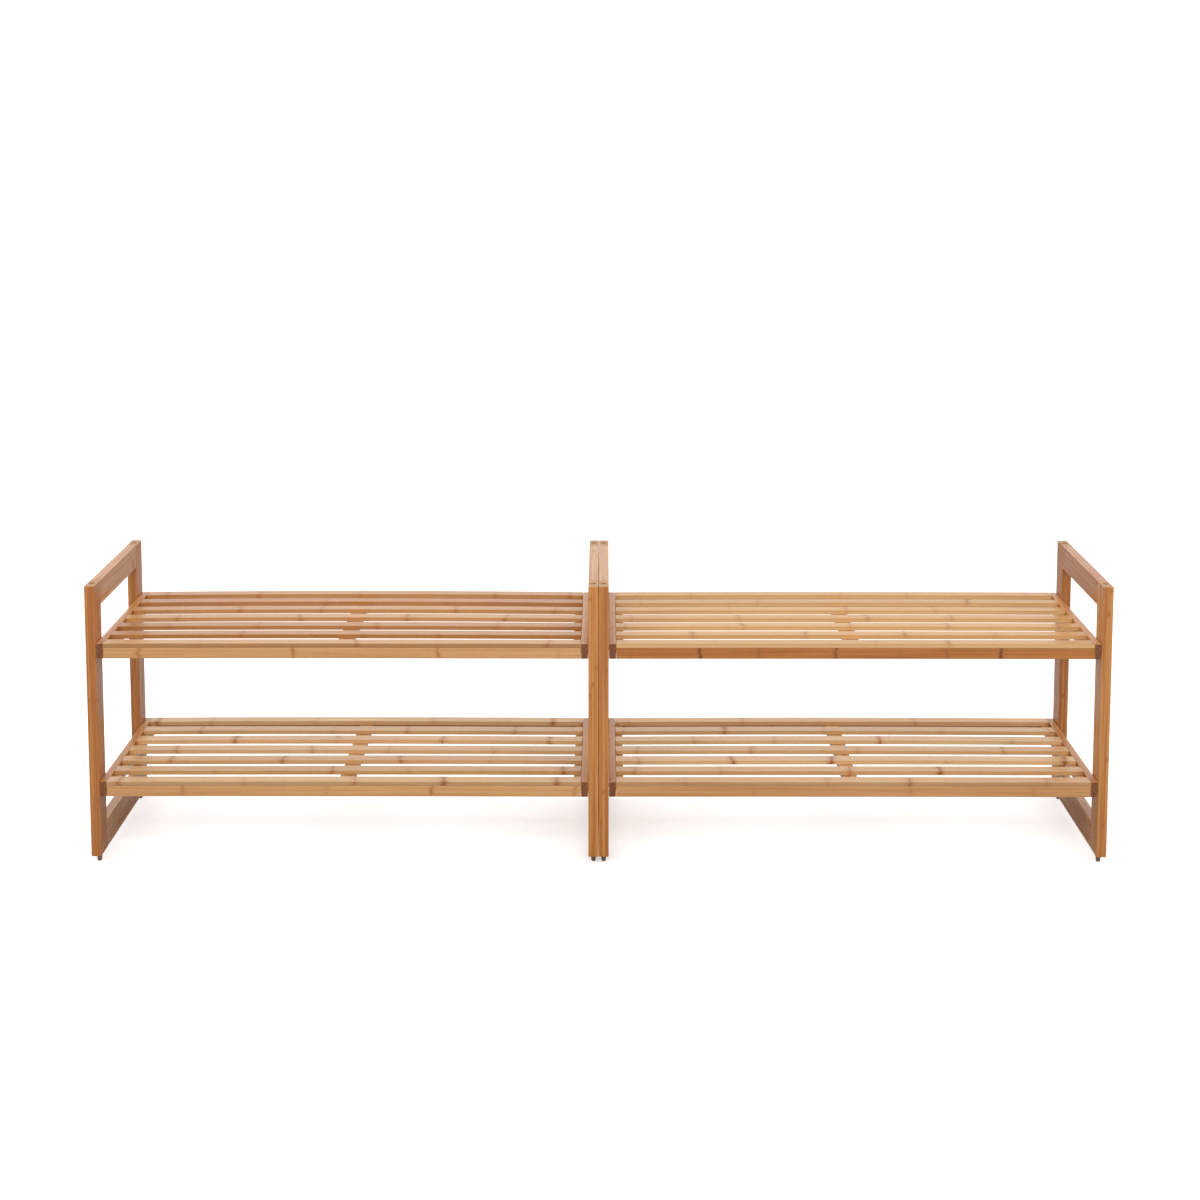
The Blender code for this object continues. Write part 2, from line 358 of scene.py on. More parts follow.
def make_bamboo_strips():
    tree, given, made = new_group(
        "bamboo_strips",
        (
            ("Light", "Color", (0.6, 0.4, 0.2, 1)),
            ("Dark", "Color", (0.4, 0.2, 0.1, 1)),
            ("Knuckle", "Color", (0.25, 0.12, 0.05, 1)),
            ("Strip Width", "Float", 0.021),
            ("Strip Shift", "Float", 0.5),
            ("Layer Height", "Float", 0.006),
            ("Layer Shift", "Float", 0.5),
            ("Knuckle Gap", "Float", 0.22),
            ("Knuckle Length", "Float", 0.007),
            ("Tone Spread", "Float", 0.5),
            ("Fibre Contrast", "Float", 0.6),
        ),
        (("Color", "Color"), ("Roughness", "Float"), ("Height", "Float")),
    )
    place = stored(tree, "grain", "Vector")
    board = stored(tree, "board")
    along, across, through = split(tree, place)
    row, row_line = glue_line(tree, across, given["Strip Width"], given["Strip Shift"])
    layer, layer_line = glue_line(tree, through, given["Layer Height"], given["Layer Shift"])
    glue = maths(tree, "MAXIMUM", row_line, layer_line)

    cell = bundle(tree, row, layer, board)
    tone, phase, blush = dice(tree, cell)
    own_place = shifted(tree, place, stretch(tree, bundle(tree, tone, phase, blush), STRIP_OFFSETS))
    broad = fade(tree, cloud(tree, own_place, BROAD_FIBRE, detail=3.0), 0.3, 0.7)
    fine = cloud(tree, own_place, FINE_FIBRE)
    drift = cloud(tree, own_place, SLOW_DRIFT, detail=1.0)

    count = maths(tree, "DIVIDE", along, given["Knuckle Gap"])
    spans = total(tree, count, product(tree, phase, PHASE_SPANS))
    span = maths(tree, "ROUND", spans)
    span_cell = shifted(tree, cell, bundle(tree, 0.37, 0.71, product(tree, span, 3.7)))
    stray, strength, slant = dice(tree, span_cell)
    from_knuckle = maths(tree, "SUBTRACT", maths(tree, "SUBTRACT", spans, span),
                         swing(tree, stray, KNUCKLE_STRAY))
    distance = product(tree, from_knuckle, given["Knuckle Gap"])
    wobble = cloud(tree, own_place, KNUCKLE_RIPPLE, detail=1.0)
    distance = total(tree, distance, swing(tree, wobble, KNUCKLE_WOBBLE))
    leaning = product(tree, across, maths(tree, "SUBTRACT", slant, 0.5))
    distance = total(tree, distance, product(tree, leaning, KNUCKLE_LEAN))

    band = bell(tree, distance, given["Knuckle Length"])
    streaked = product(tree, band, fade(tree, broad, 0.0, 1.0, 0.45, 1.1))
    core = bell(tree, distance, KNUCKLE_CORE)
    biased = maths(tree, "POWER", strength, KNUCKLE_BIAS)
    force = total(tree, FAINTEST_KNUCKLE, product(tree, biased, KNUCKLE_RANGE))
    knuckle = product(tree, force,
                    total(tree, product(tree, streaked, BAND_WEIGHT),
                          product(tree, core, CORE_WEIGHT)), clamp=True)

    fibre = total(tree, swing(tree, broad, BROAD_WEIGHT), swing(tree, fine, FINE_WEIGHT))
    share = product(tree, fibre, given["Fibre Contrast"])
    strip_tone = swing(tree, tone, given["Tone Spread"])
    slow = swing(tree, drift, DRIFT_WEIGHT)
    share = total(tree, total(tree, share, strip_tone), total(tree, slow, stored(tree, "tone")))
    share = total(tree, share, 0.5, clamp=True)

    wood = mixed(tree, share, given["Dark"], given["Light"])
    warm = mixed(tree, 1.0, wood, BLUSH_TINT, "MULTIPLY")
    wood = mixed(tree, product(tree, blush, BLUSH_AMOUNT), wood, warm)
    wood = mixed(tree, knuckle, wood, given["Knuckle"])
    glue_tone = mixed(tree, 1.0, wood, GLUE_TINT, "MULTIPLY")
    feed(tree, made["Color"], mixed(tree, product(tree, glue, GLUE_AMOUNT), wood, glue_tone))
    dull = total(tree, product(tree, fibre, 0.12), product(tree, knuckle, 0.1))
    feed(tree, made["Roughness"], total(tree, dull, WOOD_ROUGHNESS, clamp=True))
    relief = total(tree, product(tree, fibre, 0.4), product(tree, core, 0.7))
    feed(tree, made["Height"], maths(tree, "SUBTRACT", relief, glue))
    return tree


bamboo_strips = make_bamboo_strips()
print(f"bamboo_strips has {len(bamboo_strips.nodes)} nodes")

# %% [markdown]
# ## Cut ends, eased edges and lacquer
#
# Across a cut end the same fibres show as dark dots, packed closer towards the outside of the
# stem, and the end drinks more lacquer and turns brown. Along an edge the colour is paler, partly
# from sanding and partly as a painted highlight on the rounded edge. The lacquer itself is never
# even: it dulls a little where hands and cloths have been. Each of the three is a group. Every
# bamboo uses all of them, and the steels use the last two.

# %% Make the groups for ends, edges and lacquer
DOT_SPACING = 0.0011
DOT_TINT, DOT_AMOUNT = (0.45, 0.36, 0.3, 1), 0.7
END_PATCHES = (0.0, 260.0, 260.0)
RUBBED_PATCHES = (25.0, 90.0, 90.0)
WIPED_PATCHES = (14.0, 40.0, 40.0)
DUST = (600.0, 600.0, 600.0)
END_DULLNESS = 0.16
SMOOTHEST_FILM = 0.12


def make_cut_end():
    tree, given, made = new_group(
        "cut_end",
        (
            ("Color", "Color", (0.5, 0.3, 0.1, 1)),
            ("End Color", "Color", (0.3, 0.1, 0.03, 1)),
            ("Roughness", "Float", 0.4),
        ),
        (("Color", "Color"), ("Roughness", "Float"), ("Height", "Float")),
    )
    place = stored(tree, "grain", "Vector")
    is_end = stored(tree, "end_cut")
    dots = tree.nodes.new("ShaderNodeTexVoronoi")
    dots.feature = "F1"
    feed(tree, dots.inputs["Vector"], stretch(tree, place, (0.0, 1.0, 1.0)))
    dots.inputs["Scale"].default_value = 1.0 / DOT_SPACING
    dot = fade(tree, dots.outputs["Distance"], 0.15, 0.45, 1.0, 0.0)
    patch = cloud(tree, place, END_PATCHES)
    cut = mixed(tree, fade(tree, patch, 0.25, 0.75, 0.0, 0.35), given["End Color"], given["Color"])
    dark = mixed(tree, 1.0, cut, DOT_TINT, "MULTIPLY")
    cut = mixed(tree, product(tree, dot, DOT_AMOUNT), cut, dark)
    feed(tree, made["Color"], mixed(tree, is_end, given["Color"], cut))
    rough = product(tree, is_end, END_DULLNESS)
    feed(tree, made["Roughness"], total(tree, given["Roughness"], rough, clamp=True))
    feed(tree, made["Height"], product(tree, product(tree, dot, is_end), -1.0))
    return tree


def make_sanded_edge_and_highlight():
    tree, given, made = new_group(
        "sanded_edge_and_highlight",
        (
            ("Color", "Color", (0.5, 0.3, 0.1, 1)),
            ("Edge Color", "Color", (0.7, 0.5, 0.3, 1)),
            ("Amount", "Float", 0.4),
        ),
        (("Color", "Color"),),
    )
    # The edge faces turn paler in patches: partly sanding, and partly a painted highlight on the
    # rounded edge.
    rubbed = cloud(tree, stored(tree, "grain", "Vector"), RUBBED_PATCHES, detail=3.0)
    worn_and_highlit = product(tree, stored(tree, "edge"), fade(tree, rubbed, 0.35, 0.7))
    mask = product(tree, worn_and_highlit, given["Amount"])
    feed(tree, made["Color"], mixed(tree, mask, given["Color"], given["Edge Color"]))
    return tree


def make_lacquer_film():
    tree, given, made = new_group(
        "lacquer_film",
        (("Roughness", "Float", 0.4), ("Smudges", "Float", 0.1)),
        (("Roughness", "Float"), ("Coat", "Float")),
    )
    place = stored(tree, "grain", "Vector")
    wiped = cloud(tree, place, WIPED_PATCHES, detail=4.0, roughness=0.6)
    dust = cloud(tree, place, DUST, detail=1.0)
    uneven = swing(tree, wiped, given["Smudges"])
    specks = fade(tree, dust, 0.66, 0.74, 0.0, 0.12)
    rough = total(tree, given["Roughness"], total(tree, uneven, specks))
    feed(tree, made["Roughness"], maths(tree, "MAXIMUM", rough, SMOOTHEST_FILM))
    feed(tree, made["Coat"], fade(tree, wiped, 0.3, 0.7, 0.26, 0.12))
    return tree


cut_end, sanded_edge_and_highlight, lacquer_film = make_cut_end(), make_sanded_edge_and_highlight(), make_lacquer_film()
print("cut_end, sanded_edge_and_highlight and lacquer_film are made")

# %% [markdown]
# ## One finish for each kind of board
#
# The slats are single strips, full of knuckles. They come in three copies of one bamboo: brown on
# the upper left shelf, straw-coloured on the upper right one, where the colour paints a weaker
# sheen, and pale on both lower ones, where the colour paints the sheen and light that the upper
# shelf takes from them. The beams are two strips thick, and one of them is darker. Posts and rails
# are three layers thick, so their narrow faces show the layers as stripes. All go through the same
# chain: strips, cut ends, eased edges, lacquer, and last the Principled shader.

# %% Make the bamboo materials
SATIN_COAT_ROUGHNESS = 0.28
LACQUER_IOR = 1.5
FIBRE_RELIEF, FIBRE_BUMP = 0.00012, 0.7
EDGE_LIGHTENING, EDGE_AMOUNT = 1.25, 0.45
LACQUER_SMUDGES = 0.14
SINGLE_STRIP = 0.05  # wider and thicker than any board, so no glue line shows
BEAM_LAYER, FRAME_LAYER = 0.0065, 0.006
ONE_STRIP = {"Strip_Width": SINGLE_STRIP, "Layer_Height": SINGLE_STRIP}
BEAM_STRIPS = {"Strip_Width": SINGLE_STRIP, "Layer_Height": BEAM_LAYER, "Layer_Shift": 0.0}
FRAME_STRIPS = {"Strip_Shift": 0.0, "Layer_Height": FRAME_LAYER}


def placed(tree, group, **values):
    node = tree.nodes.new("ShaderNodeGroup")
    node.node_tree = group
    fill(tree, node, **values)
    return node.outputs


def bamboo(name, light, dark, knuckle, end, **strips):
    """A lacquered bamboo in its own tones. strips sets the inputs of bamboo_strips."""
    material = bpy.data.materials.new(name)
    material.use_nodes = True
    tree = material.node_tree
    shader = tree.nodes["Principled BSDF"]
    wood = placed(tree, bamboo_strips, Light=(*light, 1), Dark=(*dark, 1), Knuckle=(*knuckle, 1),
                  **strips)
    cut = placed(tree, cut_end, Color=wood["Color"], End_Color=(*end, 1), Roughness=wood["Roughness"])
    # The paler edge colour is partly sanding and partly a painted highlight on the rounded edge.
    pale = tuple(min(1.0, channel * EDGE_LIGHTENING) for channel in light)
    edged = placed(tree, sanded_edge_and_highlight, Color=cut["Color"], Edge_Color=(*pale, 1), Amount=EDGE_AMOUNT)
    film = placed(tree, lacquer_film, Roughness=cut["Roughness"], Smudges=LACQUER_SMUDGES)
    bump = tree.nodes.new("ShaderNodeBump")
    height = total(tree, wood["Height"], cut["Height"])
    fill(tree, bump, Strength=FIBRE_BUMP, Distance=FIBRE_RELIEF, Height=height)
    fill(tree, shader, Base_Color=edged["Color"], Roughness=film["Roughness"],
         Coat_Weight=film["Coat"], Coat_Roughness=SATIN_COAT_ROUGHNESS, IOR=LACQUER_IOR,
         Normal=bump.outputs["Normal"])
    return material


PALE, HONEY, AMBER = (0.54, 0.28, 0.102), (0.60, 0.345, 0.145), (0.54, 0.235, 0.06)
TAN, OAK, RUSSET = (0.38, 0.155, 0.045), (0.45, 0.215, 0.075), (0.38, 0.13, 0.022)
GINGER, CHESTNUT, UMBER = (0.46, 0.17, 0.03), (0.32, 0.09, 0.010), (0.35, 0.112, 0.012)
END_BROWN, END_PALE = (0.12, 0.026, 0.004), (0.42, 0.235, 0.10)
CREAM, STRAW, WHEAT = (0.70, 0.45, 0.22), (0.56, 0.31, 0.09), (0.48, 0.235, 0.068)
BUFF = (0.52, 0.28, 0.11)
DRAB, SOOT = (0.24, 0.14, 0.08), (0.13, 0.065, 0.035)

slat_bamboo, painted_sheen_slat_bamboo, painted_weak_sheen_slat_bamboo = (
    bamboo(name, light, dark, UMBER, end, **ONE_STRIP, Tone_Spread=0.5, Knuckle_Gap=0.19)
    for name, light, dark, end in (
        ("slat_bamboo", PALE, TAN, END_BROWN),
        # The paler copy: painted sheen and light for the lower shelves, which lie in shade under the
        # upper ones.
        ("painted_sheen_slat_bamboo", CREAM, BUFF, END_BROWN),
        # The yellower copy: its colour paints a weaker sheen on the upper right shelf.
        ("painted_weak_sheen_slat_bamboo", STRAW, WHEAT, CREAM),
    )
)
beam_bamboo = bamboo("beam_bamboo", HONEY, OAK, UMBER, END_BROWN, **BEAM_STRIPS,
                     Tone_Spread=0.15, Fibre_Contrast=0.9, Knuckle_Gap=0.24, Knuckle_Length=0.005)
dark_beam_bamboo = bamboo("dark_beam_bamboo", GINGER, CHESTNUT, END_BROWN, END_BROWN, **BEAM_STRIPS,
                          Tone_Spread=0.15, Fibre_Contrast=1.4, Knuckle_Gap=0.14,
                          Knuckle_Length=0.004)
post_bamboo = bamboo("post_bamboo", AMBER, RUSSET, UMBER, END_PALE, **FRAME_STRIPS,
                     Strip_Width=0.0215, Tone_Spread=1.1, Fibre_Contrast=2.2, Knuckle_Gap=0.26,
                     Knuckle_Length=0.005)
rail_bamboo = bamboo("rail_bamboo", HONEY, RUSSET, UMBER, END_PALE, **FRAME_STRIPS,
                     Strip_Width=0.0245, Tone_Spread=0.4, Fibre_Contrast=1.2, Knuckle_Gap=0.24,
                     Knuckle_Length=0.006)
side_rail_bamboo = bamboo("side_rail_bamboo", AMBER, RUSSET, UMBER, END_BROWN, **BEAM_STRIPS,
                          Tone_Spread=0.9, Knuckle_Gap=0.2, Knuckle_Length=0.005)
# The bar and the cleats get paler tones: painted light on their tops, which lie in shade under the
# slats.
bar_bamboo = bamboo("bar_bamboo", CREAM, HONEY, UMBER, END_BROWN,
                    Strip_Width=0.013, Strip_Shift=0.0, Layer_Height=BEAM_LAYER, Layer_Shift=0.0,
                    Tone_Spread=0.3, Knuckle_Gap=0.15)
dowel_bamboo = bamboo("dowel_bamboo", DRAB, SOOT, SOOT, SOOT, **ONE_STRIP,
                      Tone_Spread=0.3, Knuckle_Gap=0.3)
print(f"{sum(m.name.endswith('_bamboo') for m in bpy.data.materials)} bamboo finishes")

# %% [markdown]
# ## Steel
#
# The bolts are zinc plated, which gives a dull blue-grey metal with a fine mottle, and the staples
# are bare wire. Both stay metal all over, so Metallic is a plain number on the shader.

# %% Make the metal materials
MOTTLE = (900.0, 900.0, 900.0)
MOTTLE_DARKENING, MOTTLE_RELIEF, MOTTLE_BUMP = 0.6, 0.00005, 0.3
EDGE_WEAR_AND_HIGHLIGHT, EDGE_WEAR_AND_HIGHLIGHT_AMOUNT = 1.3, 0.6


def steel(name, colour, roughness, smudges):
    material = bpy.data.materials.new(name)
    material.use_nodes = True
    tree = material.node_tree
    shader = tree.nodes["Principled BSDF"]
    mottle = cloud(tree, stored(tree, "grain", "Vector"), MOTTLE, detail=4.0)
    darker = tuple(channel * MOTTLE_DARKENING for channel in colour)
    tone = mixed(tree, fade(tree, mottle, 0.3, 0.7), (*darker, 1), (*colour, 1))
    # The edges are brighter: partly wear, and partly a painted highlight.
    bright = tuple(min(1.0, channel * EDGE_WEAR_AND_HIGHLIGHT) for channel in colour)
    edged = placed(tree, sanded_edge_and_highlight, Color=tone, Edge_Color=(*bright, 1), Amount=EDGE_WEAR_AND_HIGHLIGHT_AMOUNT)
    film = placed(tree, lacquer_film, Roughness=roughness, Smudges=smudges)
    bump = tree.nodes.new("ShaderNodeBump")
    fill(tree, bump, Strength=MOTTLE_BUMP, Distance=MOTTLE_RELIEF, Height=mottle)
    fill(tree, shader, Base_Color=edged["Color"], Metallic=1.0, Roughness=film["Roughness"],
         Normal=bump.outputs["Normal"])
    return material


zinc_steel = steel("zinc_steel", (0.55, 0.56, 0.58), roughness=0.34, smudges=0.2)
wire_steel = steel("wire_steel", (0.46, 0.45, 0.43), roughness=0.4, smudges=0.1)
print("zinc_steel and wire_steel are made")

# %% [markdown]
# ## Shaping a board
#
# A planed board is a long box with its edges eased. Skinning it from loops, one after another
# along its length, gives clean rounded edges and enough loops to let a slat bend later.

# %% Helpers that shape boards
EASED_RADIUS = 0.0013
CORNER_STEPS = 3
END_ROUNDING = 0.7  # share of the edge radius that the cut ends are rounded by


def corner_loop(width, thickness, radius):
    """A rectangle with rounded corners, as points in the board's Y and Z."""
    loop = []
    for corner, (side, face) in enumerate(((1, 1), (-1, 1), (-1, -1), (1, -1))):
        for step in range(CORNER_STEPS + 1):
            angle = math.pi / 2 * (corner + step / CORNER_STEPS)
            y = side * (width / 2 - radius) + radius * math.cos(angle)
            z = face * (thickness / 2 - radius) + radius * math.sin(angle)
            loop.append((y, z))
    return loop


def skin(bm, loops):
    """Joins loops of equal length into a tube and closes both ends."""
    rows = [[bm.verts.new(point) for point in loop] for loop in loops]
    count = len(rows[0])
    for near, far in zip(rows, rows[1:]):
        for i in range(count):
            after = (i + 1) % count
            bm.faces.new((near[i], near[after], far[after], far[i]))
    bm.faces.new(rows[0])
    bm.faces.new(rows[-1])


def mesh_object(name, bm):
    bmesh.ops.recalc_face_normals(bm, faces=bm.faces)
    mesh = bpy.data.meshes.new(name)
    bm.to_mesh(mesh)
    bm.free()
    mesh.shade_smooth()
    obj = bpy.data.objects.new(name, mesh)
    scene.collection.objects.link(obj)
    return obj


def plain_board(name, length, width, thickness, spans=1, radius=EASED_RADIUS):
    """A board along X, centred on its origin, with spans equal stretches along its length."""
    depth = END_ROUNDING * radius
    stations = []
    for step in range(CORNER_STEPS + 1):
        angle = math.pi / 2 * step / CORNER_STEPS
        stations.append((depth * (1 - math.sin(angle)), depth * (1 - math.cos(angle))))
    start = [(-length / 2 + inward, inset) for inset, inward in stations]
    inner = length - 2 * depth
    middle = [(-inner / 2 + inner * i / spans, 0.0) for i in range(1, spans)]
    end = [(-x, inset) for x, inset in reversed(start)]
    loops = [
        [(x, y, z) for y, z in corner_loop(width - 2 * inset, thickness - 2 * inset, radius - inset)]
        for x, inset in start + middle + end
    ]
    bm = bmesh.new()
    skin(bm, loops)
    return mesh_object(name, bm)


print(f"edges are eased to {EASED_RADIUS * 1000:.1f} mm")

# %% [markdown]
# ## Placing a board and marking its grain
#
# Every board is made lying along X and then turned. What the materials need is written on the mesh:
# the place of each point in its board, a number that tells one board from the next, whether the
# board is a paler or darker one, which faces are cut ends, and which are eased edges. The walls of a
# drilled hole count as cut ends, so in a post they take the pale end colour: bare wood, and also
# painted light against the shade inside the hole. The sawn sides of a slat can count as partly cut.

# %% Helpers that place boards
WAYS = {"x": Vector((1, 0, 0)), "y": Vector((0, 1, 0)), "z": Vector((0, 0, 1))}
END_FACING = 0.8  # how squarely a cut end faces along the board
FLAT_FACING = 0.995  # how squarely a flat face faces out
DRILLED_DEPTH = 0.0015  # faces deeper in the board than this are the walls of a hole
made_boards = []


def note_grain(obj, tone=0.0, sawn=0.0):
    """Marks the grain. sawn is how much the narrow sides have drunk, compared with a cut end."""
    mesh = obj.data
    made_boards.append(obj.name)

    def mark(label, domain, values):
        mesh.attributes.new(label, "FLOAT", domain).data.foreach_set("value", values)

    grain = mesh.attributes.new("grain", "FLOAT_VECTOR", "POINT")
    grain.data.foreach_set("vector", [part for vertex in mesh.vertices for part in vertex.co])
    mark("board", "POINT", [float(len(made_boards))] * len(mesh.vertices))
    mark("tone", "POINT", [tone] * len(mesh.vertices))
    facing = [[abs(part) for part in face.normal] for face in mesh.polygons]
    half = [max(abs(vertex.co[axis]) for vertex in mesh.vertices) - DRILLED_DEPTH for axis in range(3)]
    drunk = []
    for face, way in zip(mesh.polygons, facing):
        # A hole's walls take the end colour; on a post this is pale, painted light against the shade
        # in the hole.
        drilled = all(abs(face.center[axis]) < half[axis] for axis in range(3))
        drunk.append(1.0 if drilled or way[0] > END_FACING else sawn * (way[1] > END_FACING))
    mark("end_cut", "FACE", drunk)
    mark("edge", "FACE", [float(max(way) < FLAT_FACING) for way in facing])


def turned_to(along, across):
    """The turn that takes a board from X, Y to two other ways."""
    length_way, width_way = WAYS[along], WAYS[across]
    return Matrix((length_way, width_way, length_way.cross(width_way))).transposed().to_4x4()


def keep_flats_flat(obj):
    """Shades the big faces flat and the small eased ones round."""
    weighted = obj.modifiers.new("weighted_normals", "WEIGHTED_NORMAL")
    weighted.keep_sharp = True


def board(name, low, high, along, across, material, slot, tone=0.0, spans=1, radius=EASED_RADIUS,
          sawn=0.0):
    """A finished board that fills the box from low to high."""
    size = dict(zip("xyz", high - low))
    through = ({"x", "y", "z"} - {along, across}).pop()
    obj = plain_board(name, size[along], size[across], size[through], spans, radius)
    obj.matrix_world = Matrix.Translation((low + high) / 2) @ turned_to(along, across)
    note_grain(obj, tone, sawn)
    obj.data.materials.append(material)
    keep_flats_flat(obj)
    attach(obj, "root")
    return obj


print("boards can be placed and marked")

# %% [markdown]
# ## Cutting holes and turning round pieces
#
# A hole is cut with a turned tool, and the cut is applied at once, so no hidden tool stays in the
# scene. Cutting makes new faces, so the board is marked again afterwards.

# %% Helpers that cut and turn
ROUND_SIDES = 32


def cut_away(obj, tools):
    """Cuts the tools out of obj for good. Its grain is marked again, because faces are new."""
    tone = obj.data.attributes["tone"].data[0].value
    for tool in tools:
        cut = obj.modifiers.new(tool.name, "BOOLEAN")
        cut.operation = "DIFFERENCE"
        cut.solver = "EXACT"
        cut.object = tool
        obj.modifiers.move(len(obj.modifiers) - 1, 0)
    weighted = obj.modifiers["weighted_normals"]
    weighted.show_viewport = False
    bpy.context.view_layer.update()
    shape = obj.evaluated_get(bpy.context.evaluated_depsgraph_get())
    mesh = bpy.data.meshes.new_from_object(shape)
    for label in ("grain", "board", "tone", "end_cut", "edge"):
        if label in mesh.attributes:
            mesh.attributes.remove(mesh.attributes[label])
    for modifier in [m for m in obj.modifiers if m.type == "BOOLEAN"]:
        obj.modifiers.remove(modifier)
    obj.data = mesh
    weighted.show_viewport = True
    note_grain(obj, tone)
    for tool in tools:
        bpy.data.objects.remove(tool)


def turned(name, rings, centre, way):
    """A round solid: rings are (distance along way, radius) from a centre."""
    bm = bmesh.new()
    turn = Vector(way).to_track_quat("Z", "Y").to_matrix()
    loops = []
    for distance, radius in rings:
        loop = []
        for i in range(ROUND_SIDES):
            angle = 2 * math.pi * i / ROUND_SIDES
            point = Vector((radius * math.cos(angle), radius * math.sin(angle), distance))
            loop.append(centre + turn @ point)
        loops.append(loop)
    skin(bm, loops)
    return mesh_object(name, bm)


print("boards can be drilled")

# %% [markdown]
# ## End frames
#
# Each end frame is a rectangle of four boards in one thickness. The posts run the full height, so
# their cut ends show at the top, on both sides of the top rail. A post has a round socket in its
# top, a hole for the dowel in its foot, and a counterbored hole for each shelf bolt: the heads sit
# below the surface, and so two racks can stand tight against each other.

# %% Make the posts, with their holes and dowels
SOCKET_RADIUS, SOCKET_DEPTH = 0.00525, 0.017
PIN_RADIUS, PIN_TIP_RADIUS = 0.005, 0.0035
PIN_STRAIGHT, PIN_IN_POST = 0.003, 0.012
PIN_TIP_ROUNDING = 0.0008
PIN_SLACK = 0.0001  # by which a pin is slimmer than its hole, on each side
DOWEL_TONE = -0.2
HOLE_CHAMFER = 0.0005
COUNTERBORE_RADIUS, COUNTERBORE_DEPTH = 0.0075, 0.0048
BOLT_HOLE_RADIUS = 0.0034
CUT_MARGIN = 0.004  # by which a cutting tool stands clear of the wood

RACKS = ("left_rack", "right_rack")
SIDES = {"left": -1, "right": 1}
ENDS = ("front", "back")
SHELVES = ("lower", "upper")
# The back posts are darker: painted shade for where they stand behind the shelves.
BACK_POST_SHADE_TONE = -0.45
POST_TONES = {
    "left_rack_left_front_post": -0.6,
    "left_rack_right_front_post": 0.12,
    "right_rack_left_front_post": 0.0,
    "right_rack_right_front_post": 0.0,
}
foot_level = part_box("left_rack_left_bottom_rail")[0].z


def hole(name, rim, inward, radius, depth):
    """A tool for a blind hole with a chamfered rim, from the rim's centre inwards."""
    rings = (
        (-CUT_MARGIN, radius + HOLE_CHAMFER + CUT_MARGIN),
        (HOLE_CHAMFER, radius),
        (depth, radius),
    )
    return turned(name, rings, rim, inward)


def bolt_places(rack, side_name):
    """Where the bolts of one end frame go: (shelf, end, point on the frame's outer face)."""
    outer = 0 if SIDES[side_name] < 0 else 1
    for shelf in SHELVES:
        low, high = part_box(f"{rack}_{shelf}_{side_name}_side_rail")
        for end in ENDS:
            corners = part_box(f"{rack}_{side_name}_{end}_post")
            y = (corners[0].y + corners[1].y) / 2
            yield shelf, end, Vector((corners[outer].x, y, (low.z + high.z) / 2))


def make_post(rack, side_name, end):
    name = f"{rack}_{side_name}_{end}_post"
    low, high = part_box(name)
    low.z = foot_level
    tone = POST_TONES.get(name, BACK_POST_SHADE_TONE)
    post = board(name + "_wood", low, high, "z", "y", post_bamboo, "frame_bamboo", tone)
    middle = (low + high) / 2
    top, foot = Vector((middle.x, middle.y, high.z)), Vector((middle.x, middle.y, low.z))
    inward = (-SIDES[side_name], 0, 0)
    tools = [
        hole("socket", top, (0, 0, -1), SOCKET_RADIUS, SOCKET_DEPTH),
        hole("dowel_hole", foot, (0, 0, 1), PIN_RADIUS, PIN_IN_POST),
    ]
    for shelf, bolt_end, rim in bolt_places(rack, side_name):
        if bolt_end == end:
            tools.append(hole("counterbore", rim, inward, COUNTERBORE_RADIUS, COUNTERBORE_DEPTH))
            exit_depth = high.x - low.x + CUT_MARGIN
            through = ((-CUT_MARGIN, BOLT_HOLE_RADIUS), (exit_depth, BOLT_HOLE_RADIUS))
            tools.append(turned("bolt_hole", through, rim, inward))
    cut_away(post, tools)
    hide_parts(name)
    make_pin(name + "_dowel", foot)


def make_pin(name, foot):
    """The stacking dowel, from its rounded tip on the floor to its end inside the post."""
    height = foot.z - cad_low.z
    rings = [(0.0, PIN_TIP_RADIUS - PIN_TIP_ROUNDING)]
    for step in range(1, CORNER_STEPS + 1):
        angle = math.pi / 2 * step / CORNER_STEPS
        rings.append((
            PIN_TIP_ROUNDING * (1 - math.cos(angle)),
            PIN_TIP_RADIUS - PIN_TIP_ROUNDING * (1 - math.sin(angle)),
        ))
    rings.append((height - PIN_STRAIGHT, PIN_RADIUS - PIN_SLACK))
    rings.append((height + PIN_IN_POST - HOLE_CHAMFER, PIN_RADIUS - PIN_SLACK))
    pin = turned(name, [(z - height, r) for z, r in rings], foot, (0, 0, 1))
    bring_home(pin, foot, "z", "x")
    note_grain(pin, DOWEL_TONE)
    pin.data.materials.append(dowel_bamboo)
    keep_flats_flat(pin)
    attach(pin, "root")


def bring_home(obj, centre, along, across):
    """Gives a mesh made in place an origin at centre and a board's own axes."""
    matrix = Matrix.Translation(centre) @ turned_to(along, across)
    obj.data.transform(matrix.inverted())
    obj.matrix_world = matrix


for rack in RACKS:
    for side_name in SIDES:
        for end in ENDS:
            make_post(rack, side_name, end)
print(f"{len(made_boards)} boards marked so far")

# %% [markdown]
# ## Rails of the end frames
#
# The rails are the same stock as the posts. The top rail is also the handle that a rack is lifted
# by. The outer rails on the right are a little darker than the others.

# %% Make the rails
RAIL_TONE = -0.1
RAIL_TONES = {("right_rack", "right"): -0.3}
for rack in RACKS:
    for side_name in SIDES:
        for level in ("top", "bottom"):
            name = f"{rack}_{side_name}_{level}_rail"
            low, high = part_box(name)
            tone = RAIL_TONES.get((rack, side_name), RAIL_TONE)
            rail = board(name + "_wood", low, high, "y", "z", rail_bamboo, "frame_bamboo", tone)
            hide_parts(name)
print("rails are made")

